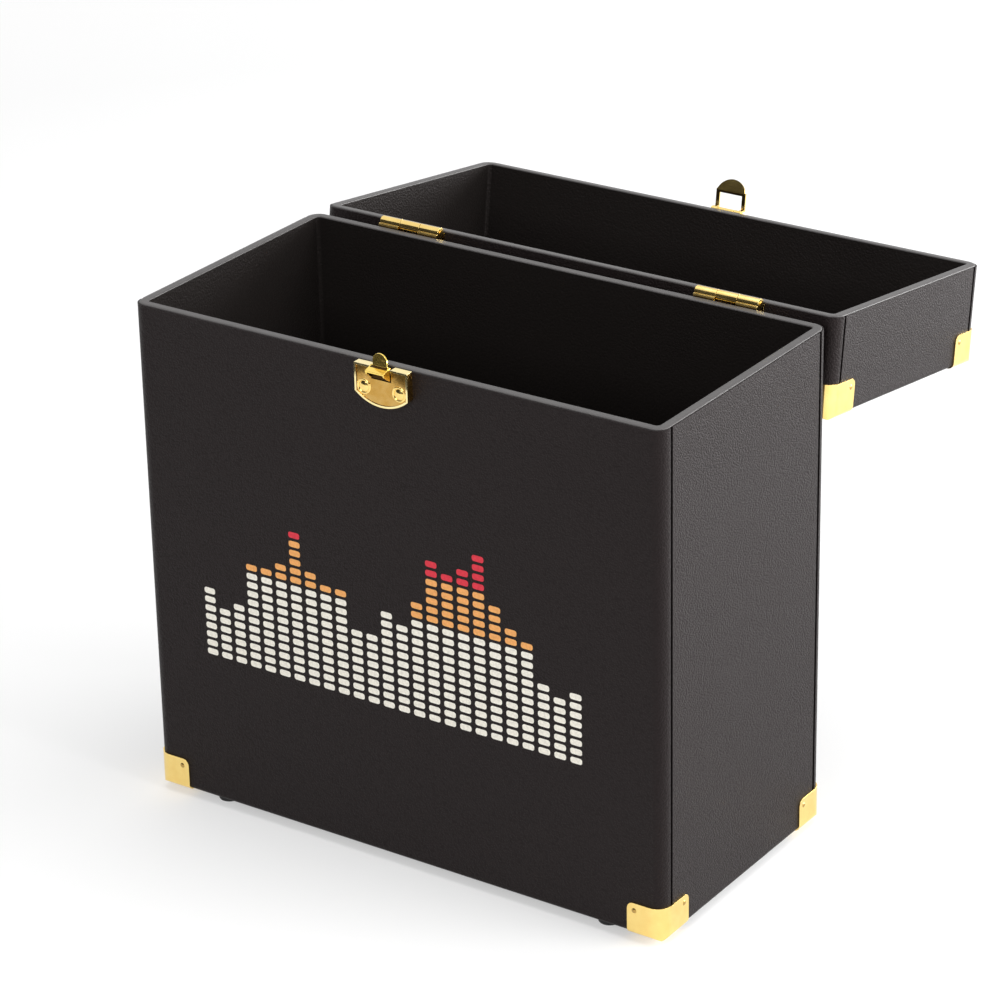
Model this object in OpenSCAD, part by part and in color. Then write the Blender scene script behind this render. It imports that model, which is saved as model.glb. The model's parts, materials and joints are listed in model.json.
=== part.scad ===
// Record carrying case: a covered board box with a hinged lid, gold corner
// caps, a sprung catch, a hasp and a carrying handle. The lid is drawn open,
// laid over behind the body. X runs along the front, the front faces -Y, Z is
// up, and the origin is on the ground under the middle of the lid's hinge axis.

/* [Case] */
// Width of the case along the front
case_w = 340; // [300:1:420]
// Depth of the case from front to back
case_d = 168; // [140:1:220]
// Height of the body without its feet
body_h = 295; // [240:1:340]
// Height of the lid
lid_h = 57; // [48:1:90]
// Radius of the upright corners outside
corner_r = 8; // [7:0.5:12]
// Radius of the body's bottom edges and the lid's top edges
edge_r = 3; // [2.5:0.5:4]
// Gap between the rims when the lid is closed
lid_gap = 0.5; // [0.3:0.1:1]
// Angle that the lid is drawn open at
lid_open = 187.9; // [150:0.1:188]

/* [Walls] */
// Thickness of the boards
board_t = 4; // [3:0.5:6]
// Thickness of the outer covers
cover_t = 1; // [0.6:0.1:1.4]
// Thickness of the lining
lining_t = 1; // [0.5:0.1:2]
// Thickness of the tape over the rims
rim_t = 0.8; // [0.4:0.1:1.5]
// Width of the groove between two covers
seam_w = 1; // [0.5:0.1:2]

/* [Corner caps] */
// Thickness of the cap's sheet
cap_t = 0.8; // [0.5:0.1:1]
// Length of the leaf along the front or back
cap_front = 22; // [18:0.5:30]
// Length of the leaf along the side
cap_side = 25; // [18:0.5:30]
// Height of the leaves
cap_h = 19; // [15:0.5:24]
// Radius of the leaves' free corners
cap_corner_r = 4; // [2:0.5:6]
// Distance of each nail from the leaf's two free edges
nail_inset = 4.5; // [3.5:0.5:6]
// Radius of the nail's head
nail_head_r = 1.5; // [1:0.1:2]
// Height of the nail's head
nail_head_h = 0.5; // [0.3:0.1:0.8]
// Radius of the nail's shank
nail_r = 0.7; // [0.5:0.1:1]
// Length of the nail under its head
nail_l = 4.2; // [3:0.1:5]

/* [Feet] */
// Height of a foot
foot_h = 5; // [4:0.5:12]
// Radius of a foot where it meets the base
foot_r = 7; // [6:0.5:12]
// Radius of a foot on the ground
foot_ground_r = 6.2; // [5:0.1:10]
// Distance of a foot's middle from the side of the case
foot_side = 41; // [32:1:60]
// Distance of a foot's middle from the front or back of the case
foot_front = 12; // [11:1:40]
// Radius of the foot screw's head
foot_head_r = 3; // [2.5:0.1:4]
// Height of the foot screw's head
foot_head_h = 1.5; // [1:0.1:2]
// Radius of the foot screw's shank
foot_screw_r = 1.5; // [1:0.1:2]

/* [Hinges] */
// Distance of each hinge's middle from the side of the case
hinge_side = 65; // [50:1:90]
// Length of a hinge along the rim
hinge_w = 40; // [36:1:60]
// Height of a leaf
leaf_h = 22; // [18:1:30]
// Thickness of a leaf
leaf_t = 1; // [0.8:0.1:1.2]
// Distance of the pin's middle behind the back of the case
hinge_out = 4.5; // [4.5:0.1:6]
// Height of the pin's middle above the body's rim
hinge_up = 1.1; // [0.8:0.1:1.5]
// Radius of the knuckles
knuckle_r = 3.1; // [2.8:0.1:3.2]
// Radius of the hinge pin
hinge_pin_r = 1.5; // [1:0.1:1.8]
// Radius of the hinge screw's head
screw_head_r = 2.4; // [2:0.1:3]
// Height of the hinge screw's head
screw_head_h = 0.9; // [0.6:0.1:1.2]
// Radius of the hinge screw's shank
screw_r = 1.1; // [0.8:0.1:1.4]
// Distance between two neighbouring hinge screws
screw_pitch = 13; // [10:0.5:15]

/* [Catch] */
// Width of the catch plate
plate_w = 34; // [32:0.5:44]
// Depth of the plate's straight sides below its top edge
plate_side = 16; // [15:0.5:22]
// Depth of the plate's curved bottom below the straight sides
plate_bulge = 6.5; // [4:0.5:9]
// Distance that the plate stands out from the case
plate_out = 4.2; // [4.2:0.1:6]
// Thickness of the plate's sheet
plate_t = 0.8; // [0.6:0.1:1]
// Distance of each plate screw from the middle
plate_screw_x = 11.3; // [10.8:0.1:13]
// Distance of the plate screws below the body's rim
plate_screw_z = 13.3; // [12:0.1:15]
// Radius of the plate screw's head
plate_head_r = 3.3; // [2.5:0.1:3.6]
// Height of the plate screw's head
plate_head_h = 1; // [0.6:0.1:1.4]
// Width of the catch's nose
nose_w = 12; // [10:0.1:12.4]
// Distance that the nose reaches out from the case
nose_out = 10.2; // [9:0.1:10.4]
// Radius of the thumb tab's round top
tab_r = 4.6; // [4:0.1:5]
// Height of the thumb tab above the body's rim
tab_up = 7.7; // [7:0.1:10]
// Thickness of the lever's sheet
lever_t = 0.9; // [0.7:0.1:1.1]
// Radius of the lever's pivot pin
pivot_r = 0.8; // [0.6:0.1:0.9]
// Radius of the lever's hub
hub_r = 1.45; // [1.3:0.05:1.5]

/* [Hasp] */
// Width of the hasp
hasp_w = 20; // [19:0.5:24]
// Width of each leg of the hasp
hasp_leg = 2.4; // [1.8:0.1:2.6]
// Height of the hasp's cross bar
hasp_bar = 2; // [1.5:0.1:3]
// Distance of the window's lower end below the lid's rim
window_low = 8.5; // [8.3:0.1:10]
// Distance of the hasp's end below the lid's rim
hasp_low = 17.5; // [15:0.5:22]
// Thickness of the hasp's sheet
hasp_t = 1; // [0.8:0.1:1.2]
// Angle that the hasp's round end is bent forward
hasp_bend = 22; // [0:1:40]
// Radius of the hasp's knuckles
hasp_knuckle_r = 1.7; // [1.5:0.1:1.8]
// Radius of the hasp's pin
hasp_pin_r = 0.8; // [0.6:0.1:0.9]
// Height of the hasp's fixed leaf on the lid
hasp_leaf_h = 13; // [10:0.5:20]
// Radius of the rivet's head on the hasp's leaf
rivet_head_r = 1.9; // [1.5:0.1:2.4]
// Height of the rivet's head
rivet_head_h = 0.8; // [0.5:0.1:1]
// Radius of the rivet's shank
rivet_r = 1; // [0.7:0.1:1.2]

/* [Handle] */
// Distance between the two handle pins along the lid
handle_l = 132; // [110:1:180]
// Height of the grip's middle above the pins when it stands up
handle_rise = 33; // [28:0.5:45]
// Width of the grip across the hand
grip_w = 19; // [15:0.5:24]
// Thickness of the grip
grip_t = 13; // [10:0.5:16]
// Gap between each end of the grip and the core's bend
grip_gap = 0.5; // [0.3:0.1:2]
// Width of the steel core across the hand
core_w = 9; // [7:0.5:12]
// Thickness of the steel core
core_t = 2.5; // [2:0.1:4]
// Outer radius of the core's two bends
core_bend_r = 10; // [8:0.5:14]
// Height of the handle pins above the lid
handle_pin_up = 6; // [5.5:0.1:9]
// Radius of the handle pins
handle_pin_r = 1.8; // [1.2:0.1:2.2]
// Radius of the handle's eyes
eye_r = 3.6; // [3:0.1:4.4]
// Thickness of the bracket's sheet
bracket_t = 1.2; // [1:0.1:1.6]
// Length of the bracket's foot along the lid
bracket_l = 30; // [28:1:40]
// Width of the bracket's foot
bracket_w = 18; // [14:0.5:24]

/* [Hidden] */
$fn = 64;
// Running clearance round a pin, on the radius
pin_clear = 0.05;
// Clearance round a fastener's shank, on the radius
shank_clear = 0.05;
// Gap between two pieces that move past each other
run_gap = 0.3;
// Length of a pin standing out of its end knuckle
pin_out = 0.5;
// Extra length of a cut past a surface
past = 1;
// Board left between a fastener's tip and the lining
tip_cover = 1;
wall_t = cover_t + board_t + lining_t;
skin_t = cover_t + board_t;
half_w = case_w / 2;
half_d = case_d / 2;
// Heights: body's rim, lid's rim and lid's top when the lid is closed
rim_z = foot_h + body_h;
lid_rim_z = rim_z + lid_gap;
top_z = lid_rim_z + lid_h;
// Hinge middles along X, and the hinge axis of the lid
hinge_x = half_w - hinge_side;
hinge_y = half_d + hinge_out;
hinge_z = rim_z + hinge_up;
// Hinge axis of the hasp, with the lid closed
hasp_axis_y = -half_d - hasp_knuckle_r - run_gap;
hasp_axis_z = lid_rim_z + 1.3;
// Back and front of the catch lever's upright sheet
lever_back_y = hasp_axis_y - hasp_knuckle_r - run_gap - 0.1;
lever_front_y = lever_back_y - lever_t;
// Pivot of the catch lever
pivot_y = -half_d - hub_r - run_gap;
pivot_z = rim_z - 3.2;
// Front of the catch plate and back of the hasp's flat frame
plate_front_y = -half_d - plate_out;
plate_top_z = rim_z - 0.5;
hasp_back_y = plate_front_y - plate_head_h - run_gap;
// Handle pin axis, with the lid closed
handle_axis_z = top_z + handle_pin_up;
// Length of a handle eye along its pin
eye_l = 8;

// ---- Places ----

// Pieces are drawn about the body's middle. This moves one so that the origin is under the hinge axis.
module placed() {
    translate([0, -hinge_y, 0])
        children();
}

// The body stands on its feet. A tray below has its closed face at z = 0 and its rim at z = h.
module on_feet() {
    translate([0, 0, foot_h])
        children();
}

// The lid is a tray turned over, closed on the body
module turned_over() {
    translate([0, 0, top_z])
        mirror([0, 0, 1])
            children();
}

// Swings closed-lid pieces to where the lid is drawn
module opened() {
    translate([0, hinge_y, hinge_z])
        rotate([-lid_open, 0, 0])
            translate([0, -hinge_y, -hinge_z])
                children();
}

// ---- Shapes shared by both trays ----

module round_rect(w, d, r) {
    square([w - 2 * r, d], center = true);
    square([w, d - 2 * r], center = true);
    for (x = [-1, 1], y = [-1, 1])
        translate([x * (w / 2 - r), y * (d / 2 - r)])
            circle(r = r);
}

// What is cut off along a bottom edge of length l, to leave a round of radius r
module edge_cut(l, r) {
    rotate([90, 0, 90])
        translate([0, 0, -l / 2])
            linear_extrude(l)
                difference() {
                    translate([-past, -past])
                        square(r + past);
                    translate([r, r])
                        circle(r = r);
                }
}

// Solid block with rounded uprights and bottom edges, shrunk by inset on all sides but the rim's
module block(inset, h) {
    w = case_w - 2 * inset;
    d = case_d - 2 * inset;
    r = edge_r - inset;
    translate([0, 0, inset])
        difference() {
            linear_extrude(h - inset)
                round_rect(w, d, corner_r - inset);
            for (side = [0, 180])
                rotate([0, 0, side]) {
                    translate([0, -d / 2, 0])
                        edge_cut(w + 2 * past, r);
                    rotate([0, 0, 90])
                        translate([0, -w / 2, 0])
                            edge_cut(d + 2 * past, r);
                }
        }
}

// Skin between the block's outside and the boards, up to the rim tape
module skin(h) {
    difference() {
        block(0, h - rim_t);
        block(cover_t, h + past);
    }
}

// Box centred in X and Y, from z0 to z1
module slab(w, d, z0, z1) {
    translate([-w / 2, -d / 2, z0])
        cube([w, d, z1 - z0]);
}

// Domed head above z = 0 with its shank below
module fastener(head_r, head_h, shank_r, shank_l) {
    dome_r = (head_r * head_r + head_h * head_h) / (2 * head_h);
    intersection() {
        cylinder(r = head_r, h = head_h);
        translate([0, 0, head_h - dome_r])
            sphere(r = dome_r);
    }
    translate([0, 0, -shank_l])
        cylinder(r = shank_r, h = shank_l + head_h / 4);
}

// ---- Trays: boards, covers, lining and rim ----

module board_colour() {
    color([0.09, 0.085, 0.085])
        children();
}

module cover_colour() {
    color([0.16, 0.145, 0.15])
        children();
}

module lining_colour() {
    color([0.1, 0.1, 0.1])
        children();
}

module rim_colour() {
    color([0.32, 0.31, 0.31])
        children();
}

module gold() {
    color([0.98, 0.84, 0.46])
        children();
}

// Front (side = -1) or back (side = 1) board, as wide as the box
module long_board(side, h) {
    intersection() {
        block(cover_t, h - rim_t);
        translate([0, side * (half_d - cover_t - board_t / 2), 0])
            slab(case_w, board_t, 0, h);
    }
}

// Left (side = -1) or right (side = 1) board, between the long boards
module short_board(side, h) {
    intersection() {
        block(cover_t, h - rim_t);
        translate([side * (half_w - cover_t - board_t / 2), 0, 0])
            slab(board_t, case_d - 2 * skin_t, 0, h);
    }
}

// Board that closes the tray, inside the four others
module closing_board() {
    slab(case_w - 2 * skin_t, case_d - 2 * skin_t, cover_t, skin_t);
}

// Front or back cover: it wraps round the uprights and turns in under the edge
module long_cover(side, h) {
    intersection() {
        skin(h);
        translate([0, side * (half_d - corner_r / 2), 0])
            slab(case_w + past, corner_r, -past, h);
    }
}

// Left or right cover, laid between the long covers
module short_cover(side, h) {
    intersection() {
        skin(h);
        translate([side * (half_w - corner_r / 2), 0, 0])
            slab(corner_r, case_d - 2 * corner_r - 2 * seam_w, -past, h);
    }
}

// Sheet over the closed face
module closing_cover() {
    slab(case_w - 2 * corner_r - 2 * seam_w, case_d - 2 * corner_r - 2 * seam_w, 0, cover_t);
}

module lining(h) {
    difference() {
        slab(case_w - 2 * skin_t, case_d - 2 * skin_t, skin_t, h - rim_t);
        slab(case_w - 2 * wall_t, case_d - 2 * wall_t, wall_t, h + past);
    }
}

module rim(h) {
    difference() {
        translate([0, 0, h - rim_t])
            linear_extrude(rim_t)
                round_rect(case_w, case_d, corner_r);
        slab(case_w - 2 * wall_t, case_d - 2 * wall_t, 0, h + past);
    }
}

// ---- Corner caps and their nails ----

// Leaf outline from the corner outwards, with its free corner rounded
module leaf_outline(w, h, r) {
    difference() {
        translate([-past - cap_t, -past - cap_t])
            square([w + past + cap_t, h + past + cap_t]);
        translate([w - r, h - r])
            difference() {
                square(r + past);
                circle(r = r);
            }
    }
}

// Puts a piece drawn at the front left corner at the corner (sx, sy)
module at_corner(sx, sy) {
    mirror([sx > 0 ? 1 : 0, 0, 0])
        mirror([0, sy > 0 ? 1 : 0, 0])
            children();
}

// Block that the cap's sheet reaches out to
module cap_block() {
    w = case_w + 2 * cap_t;
    d = case_d + 2 * cap_t;
    r = edge_r + cap_t;
    translate([0, 0, -cap_t])
        difference() {
            linear_extrude(cap_h + cap_t)
                round_rect(w, d, corner_r + cap_t);
            translate([0, -d / 2, 0])
                edge_cut(w + 2 * past, r);
            rotate([0, 0, 90])
                translate([0, w / 2, 0])
                    rotate([0, 0, 180])
                        edge_cut(d + 2 * past, r);
        }
}

module cap_sheet() {
    difference() {
        intersection() {
            cap_block();
            translate([-half_w, -half_d, -cap_t - past])
                linear_extrude(cap_h + 2 * past)
                    leaf_outline(cap_front, cap_side, cap_corner_r * 2);
            translate([-half_w, half_d, 0])
                rotate([90, 0, 0])
                    linear_extrude(case_d + past)
                        leaf_outline(cap_front, cap_h, cap_corner_r);
            translate([-half_w - past, -half_d, 0])
                rotate([90, 0, 90])
                    linear_extrude(half_w)
                        leaf_outline(cap_side, cap_h, cap_corner_r);
        }
        block(0, cap_h + past);
    }
}

// The cap's three nails at the front left corner: front leaf, side leaf and closing leaf
module at_nails() {
    z = cap_h - nail_inset;
    translate([-half_w + cap_front - nail_inset, -half_d - cap_t, z])
        rotate([90, 0, 0])
            children();
    translate([-half_w - cap_t, -half_d + cap_side - nail_inset, z])
        rotate([0, -90, 0])
            children();
    translate([-half_w + cap_front / 2, -half_d + cap_side / 2, -cap_t])
        rotate([180, 0, 0])
            children();
}

module nail_holes() {
    for (sx = [-1, 1], sy = [-1, 1])
        at_corner(sx, sy)
            at_nails()
                translate([0, 0, -nail_l - shank_clear])
                    cylinder(r = nail_r + shank_clear, h = nail_l + past);
}

module cap(sx, sy) {
    gold()
        at_corner(sx, sy)
            difference() {
                cap_sheet();
                at_nails()
                    translate([0, 0, -nail_l])
                        cylinder(r = nail_r + shank_clear, h = nail_l + past);
            }
}

module cap_nails() {
    gold()
        for (sx = [-1, 1], sy = [-1, 1])
            at_corner(sx, sy)
                at_nails()
                    fastener(nail_head_r, nail_head_h, nail_r, nail_l);
}

// ---- Feet ----

// Depth of the pocket that hides the screw's head
foot_sink = foot_head_h + 0.5;
foot_screw_l = foot_h - foot_sink + skin_t - tip_cover;

module at_feet() {
    for (x = [-1, 1], y = [-1, 1])
        translate([x * (half_w - foot_side), y * (half_d - foot_front), 0])
            children();
}

module foot_screw_holes() {
    at_feet()
        translate([0, 0, -past])
            cylinder(r = foot_screw_r + shank_clear, h = foot_sink + foot_screw_l + past + shank_clear);
}

module feet() {
    color([0.06, 0.06, 0.06])
        at_feet()
            difference() {
                cylinder(r1 = foot_ground_r, r2 = foot_r, h = foot_h);
                translate([0, 0, -past])
                    cylinder(r = foot_head_r + shank_clear, h = foot_sink + past);
                cylinder(r = foot_screw_r + shank_clear, h = foot_h + past);
            }
}

module foot_screws() {
    color([0.7, 0.7, 0.72])
        at_feet()
            translate([0, 0, foot_sink])
                rotate([180, 0, 0])
                    fastener(foot_head_r, foot_head_h, foot_screw_r, foot_screw_l);
}

// ---- Lid hinges ----

hinge_screw_l = leaf_t + skin_t - tip_cover;
body_screw_z = rim_z - leaf_h / 2 - 1;
lid_screw_z = lid_rim_z + leaf_h / 2 + 1;
// The lid's leaf stops this far from its rim
leaf_back = 1.2;
// The straps between plate and knuckle: height over the rim, gap to the case, overlap in the knuckle
strap_h = 5;
strap_gap = 0.2;
strap_lap = 1;

// Cylinder along X at a height and depth
module rod_x(r, x0, x1, y, z) {
    translate([x0, y, z])
        rotate([0, 90, 0])
            cylinder(r = r, h = x1 - x0);
}

// A knuckle and its strap, from x0 to x1; up = 1 for the lid and -1 for the body
module hinge_knuckle(x0, x1, up) {
    strap_end = up > 0 ? lid_rim_z + strap_h : rim_z - strap_h;
    rod_x(knuckle_r, x0, x1, hinge_y, hinge_z);
    translate([x0, half_d + strap_gap, min(hinge_z, strap_end)])
        cube([x1 - x0, hinge_out - knuckle_r + strap_lap - strap_gap, abs(strap_end - hinge_z)]);
}

module at_hinge_screws(z) {
    for (i = [-1, 0, 1])
        translate([i * screw_pitch, half_d + leaf_t, z])
            rotate([-90, 0, 0])
                children();
}

module hinge_screw_holes(z) {
    for (side = [-1, 1])
        translate([side * hinge_x, 0, 0])
            at_hinge_screws(z)
                translate([0, 0, -hinge_screw_l - shank_clear])
                    cylinder(r = screw_r + shank_clear, h = hinge_screw_l + past);
}

module hinge_leaf(side, up) {
    plate_z = up > 0 ? lid_rim_z + leaf_back : rim_z - leaf_h;
    screw_z = up > 0 ? lid_screw_z : body_screw_z;
    third = hinge_w / 6;
    gold()
        difference() {
            translate([side * hinge_x, 0, 0]) {
                translate([-hinge_w / 2, half_d, plate_z])
                    cube([hinge_w, leaf_t, leaf_h - leaf_back]);
                if (up > 0)
                    hinge_knuckle(-third + run_gap / 2, third - run_gap / 2, up);
                else {
                    hinge_knuckle(-hinge_w / 2, -third - run_gap / 2, up);
                    hinge_knuckle(third + run_gap / 2, hinge_w / 2, up);
                }
            }
            rod_x(hinge_pin_r + pin_clear, -half_w, half_w, hinge_y, hinge_z);
            hinge_screw_holes(screw_z);
        }
}

module hinge_screws(z) {
    gold()
        for (side = [-1, 1])
            translate([side * hinge_x, 0, 0])
                at_hinge_screws(z)
                    fastener(screw_head_r, screw_head_h, screw_r, hinge_screw_l);
}

module hinge_pins() {
    reach = hinge_w / 2 + pin_out;
    gold()
        for (side = [-1, 1])
            rod_x(hinge_pin_r, side * hinge_x - reach, side * hinge_x + reach, hinge_y, hinge_z);
}

// ---- Catch on the body's front ----

plate_screw_l = plate_out + skin_t - tip_cover;
bulge_r = (plate_w * plate_w / 4 + plate_bulge * plate_bulge) / (2 * plate_bulge);
notch_half = nose_w / 2 + run_gap + 0.1;
// Lever heights: foot of the upright sheet, nose's back, nose's tip
lever_low_z = rim_z - 6.8;
nose_back_z = rim_z + 0.6;
nose_tip_z = rim_z - 1.2;
nose_tip_low_z = rim_z - 3.2;
notch_low_z = lever_low_z - 1;
hub_half = 3.4;
bead_h = 0.5;

// Extrudes a shape drawn in X and Z from depth y0 to y1
module along_y(y0, y1) {
    translate([0, y1, 0])
        rotate([90, 0, 0])
            linear_extrude(y1 - y0)
                children();
}

// Extrudes a shape drawn in Y and Z from x0 to x1
module along_x(x0, x1) {
    translate([x0, 0, 0])
        rotate([90, 0, 90])
            linear_extrude(x1 - x0)
                children();
}

// The plate's front outline, with straight sides and a curved bottom, shrunk by inset
module plate_outline(inset) {
    w = plate_w - 2 * inset;
    translate([0, plate_top_z])
        intersection() {
            translate([-w / 2, -plate_side - plate_bulge])
                square([w, plate_side + plate_bulge - inset]);
            union() {
                translate([-w / 2, -plate_side])
                    square([w, plate_side]);
                translate([0, bulge_r - plate_side - plate_bulge])
                    circle(r = bulge_r - inset);
            }
        }
}

module at_plate_screws() {
    for (side = [-1, 1])
        translate([side * plate_screw_x, plate_front_y, rim_z - plate_screw_z])
            rotate([90, 0, 0])
                children();
}

module plate_screw_holes() {
    at_plate_screws()
        translate([0, 0, -plate_screw_l - shank_clear])
            cylinder(r = screw_r + shank_clear, h = plate_screw_l + past);
}

// Pan with a raised bead round its face, a notch for the lever and two ears behind for its pin
module catch_plate() {
    ear_low_z = pivot_z - 2;
    bead_w = plate_t * 1.4;
    gold()
        difference() {
            union() {
                difference() {
                    along_y(plate_front_y - bead_h, -half_d)
                        plate_outline(0);
                    along_y(plate_front_y + plate_t, -half_d + past)
                        plate_outline(plate_t);
                    along_y(plate_front_y - bead_h - past, plate_front_y)
                        plate_outline(bead_w);
                }
                for (side = [-1, 1])
                    translate([side * (notch_half + plate_t / 2) - plate_t / 2, plate_front_y + plate_t / 2, ear_low_z])
                        cube([plate_t, plate_out - plate_t / 2 - run_gap, plate_top_z - ear_low_z - plate_t / 2]);
            }
            translate([-notch_half, plate_front_y - past, notch_low_z])
                cube([2 * notch_half, plate_out + 2 * past, rim_z - notch_low_z]);
            rod_x(pivot_r + pin_clear, -plate_w / 2, plate_w / 2, pivot_y, pivot_z);
            plate_screw_holes();
        }
}

module catch_screws() {
    gold()
        at_plate_screws()
            fastener(plate_head_r, plate_head_h, screw_r, plate_screw_l);
}

module catch_pin() {
    reach = notch_half + plate_t;
    color([0.75, 0.75, 0.78])
        rod_x(pivot_r, -reach, reach, pivot_y, pivot_z);
}

// Coil round the pin beside the hub. One leg lies along the case and the other
// presses the lever's foot outwards, which holds the thumb tab back.
module catch_spring() {
    wire_r = 0.3;
    wall_gap = 0.2;
    foot_gap = 0.5;
    coil_x0 = hub_half + run_gap;
    coil_x1 = notch_half - run_gap;
    wall_leg_l = 6;
    foot_leg_y = pivot_y - hub_r + wire_r;
    foot_leg_z = pivot_z - 2.4;
    color([0.6, 0.6, 0.62])
        difference() {
            union() {
                rod_x(hub_r, coil_x0, coil_x1, pivot_y, pivot_z);
                translate([coil_x1 - wire_r, -half_d - wire_r - wall_gap, pivot_z - wall_leg_l])
                    cylinder(r = wire_r, h = wall_leg_l);
                translate([coil_x0 + wire_r, foot_leg_y, foot_leg_z])
                    cylinder(r = wire_r, h = pivot_z - foot_leg_z);
                translate([coil_x0 + wire_r, foot_leg_y + wire_r, foot_leg_z])
                    rotate([90, 0, 0])
                        cylinder(r = wire_r, h = foot_leg_y + wire_r - lever_back_y - foot_gap);
            }
            rod_x(pivot_r + pin_clear, -plate_w, plate_w, pivot_y, pivot_z);
        }
}

// One folded sheet: a hub on the pin, an upright with the thumb tab, and a hooded nose
module catch_lever() {
    tab_z = rim_z + tab_up - tab_r;
    tip_y = -half_d - nose_out;
    gold()
        difference() {
            union() {
                rod_x(hub_r, -hub_half, hub_half, pivot_y, pivot_z);
                translate([-hub_half, lever_back_y, pivot_z - hub_r])
                    cube([2 * hub_half, pivot_y - lever_back_y, hub_r * 1.6]);
                along_y(lever_front_y, lever_back_y) {
                    translate([-nose_w / 2, lever_low_z])
                        square([nose_w, nose_back_z - lever_low_z]);
                    translate([-tab_r, pivot_z])
                        square([2 * tab_r, tab_z - pivot_z]);
                    translate([0, tab_z])
                        circle(r = tab_r);
                }
                along_x(-nose_w / 2, nose_w / 2)
                    polygon([
                        [lever_back_y, nose_back_z], [tip_y, nose_tip_z],
                        [tip_y, nose_tip_z - lever_t], [lever_back_y, nose_back_z - lever_t]
                    ]);
                for (x = [-nose_w / 2, nose_w / 2 - lever_t])
                    along_x(x, x + lever_t)
                        polygon([
                            [lever_back_y, nose_back_z], [tip_y, nose_tip_z],
                            [tip_y + 0.6, nose_tip_low_z], [lever_front_y, lever_low_z], [lever_back_y, lever_low_z]
                        ]);
            }
            rod_x(pivot_r + pin_clear, -plate_w, plate_w, pivot_y, pivot_z);
        }
}

// ---- Hasp on the lid's front ----

hasp_knuckle_in = 5.4;
hasp_leaf_low = hasp_axis_z + hasp_knuckle_r + 0.4;
rivet_x = 6.3;
rivet_z = hasp_leaf_low + 6;
hasp_rivet_l = leaf_t + skin_t - tip_cover;

module at_hasp_rivets() {
    for (side = [-1, 1])
        translate([side * rivet_x, -half_d - leaf_t, rivet_z])
            rotate([90, 0, 0])
                children();
}

module hasp_rivet_holes() {
    at_hasp_rivets()
        translate([0, 0, -hasp_rivet_l - shank_clear])
            cylinder(r = rivet_r + shank_clear, h = hasp_rivet_l + past);
}

module hasp_leaf() {
    knuckle_half = hasp_knuckle_in - run_gap;
    gold()
        difference() {
            union() {
                translate([-hasp_w / 2, -half_d - leaf_t, hasp_leaf_low])
                    cube([hasp_w, leaf_t, hasp_leaf_h]);
                translate([-knuckle_half, -half_d - leaf_t, hasp_axis_z])
                    cube([2 * knuckle_half, leaf_t, hasp_leaf_low - hasp_axis_z + leaf_t]);
                rod_x(hasp_knuckle_r, -knuckle_half, knuckle_half, hasp_axis_y, hasp_axis_z);
            }
            rod_x(hasp_pin_r + pin_clear, -hasp_w, hasp_w, hasp_axis_y, hasp_axis_z);
            hasp_rivet_holes();
        }
}

module hasp_rivets() {
    gold()
        at_hasp_rivets()
            fastener(rivet_head_r, rivet_head_h, rivet_r, hasp_rivet_l);
}

module hasp_pin() {
    gold()
        rod_x(hasp_pin_r, -hasp_w / 2 - pin_out, hasp_w / 2 + pin_out, hasp_axis_y, hasp_axis_z);
}

// Knuckles, two stepped legs, a cross bar below the window, and a round end bent forward
module hasp() {
    front_y = hasp_back_y - hasp_t;
    window_z = lid_rim_z - window_low;
    bar_low_z = window_z - hasp_bar;
    end_l = hasp_low - window_low - hasp_bar;
    step_z = hasp_axis_z - hasp_knuckle_r;
    gold()
        difference() {
            union() {
                for (side = [-1, 1]) {
                    middle = side * (hasp_knuckle_in + hasp_w / 2) / 2;
                    half = (hasp_w / 2 - hasp_knuckle_in) / 2;
                    leg_x = side * (hasp_w - hasp_leg) / 2 - hasp_leg / 2;
                    rod_x(hasp_knuckle_r, middle - half, middle + half, hasp_axis_y, hasp_axis_z);
                    translate([leg_x, front_y, step_z])
                        cube([hasp_leg, hasp_axis_y - front_y, hasp_t]);
                    translate([leg_x, front_y, bar_low_z])
                        cube([hasp_leg, hasp_t, step_z + hasp_t - bar_low_z]);
                }
                translate([-hasp_w / 2, front_y, bar_low_z])
                    cube([hasp_w, hasp_t, hasp_bar]);
                translate([0, hasp_back_y, bar_low_z])
                    rotate([-hasp_bend, 0, 0])
                        along_y(-hasp_t, 0)
                            intersection() {
                                translate([0, hasp_w / 2 - end_l])
                                    circle(r = hasp_w / 2);
                                translate([-hasp_w / 2, -end_l])
                                    square([hasp_w, end_l + hasp_bar / 4]);
                            }
            }
            rod_x(hasp_pin_r + pin_clear, -hasp_w, hasp_w, hasp_axis_y, hasp_axis_z);
        }
}

// ---- Handle on the lid's top ----

handle_rivet_x = bracket_l / 2 - 4;
handle_rivet_l = bracket_t + skin_t - tip_cover;
ear_x = eye_l / 2 + run_gap;

module at_handle_rivets() {
    for (side = [-1, 1], x = [-handle_rivet_x, handle_rivet_x])
        translate([side * handle_l / 2 + x, 0, top_z + bracket_t])
            children();
}

module handle_rivet_holes() {
    at_handle_rivets()
        translate([0, 0, -handle_rivet_l - shank_clear])
            cylinder(r = rivet_r + shank_clear, h = handle_rivet_l + past);
}

// Foot with two ears that hold the pin
module handle_bracket(side) {
    gold()
        difference() {
            translate([side * handle_l / 2, 0, top_z]) {
                translate([-bracket_l / 2, -bracket_w / 2, 0])
                    cube([bracket_l, bracket_w, bracket_t]);
                for (x = [-ear_x - bracket_t, ear_x])
                    along_x(x, x + bracket_t) {
                        translate([-eye_r, 0])
                            square([2 * eye_r, handle_pin_up]);
                        translate([0, handle_pin_up])
                            circle(r = eye_r);
                    }
            }
            rod_x(handle_pin_r + pin_clear, -half_w, half_w, 0, handle_axis_z);
            handle_rivet_holes();
        }
}

module handle_rivets() {
    gold()
        at_handle_rivets()
            fastener(rivet_head_r, rivet_head_h, rivet_r, handle_rivet_l);
}

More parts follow.
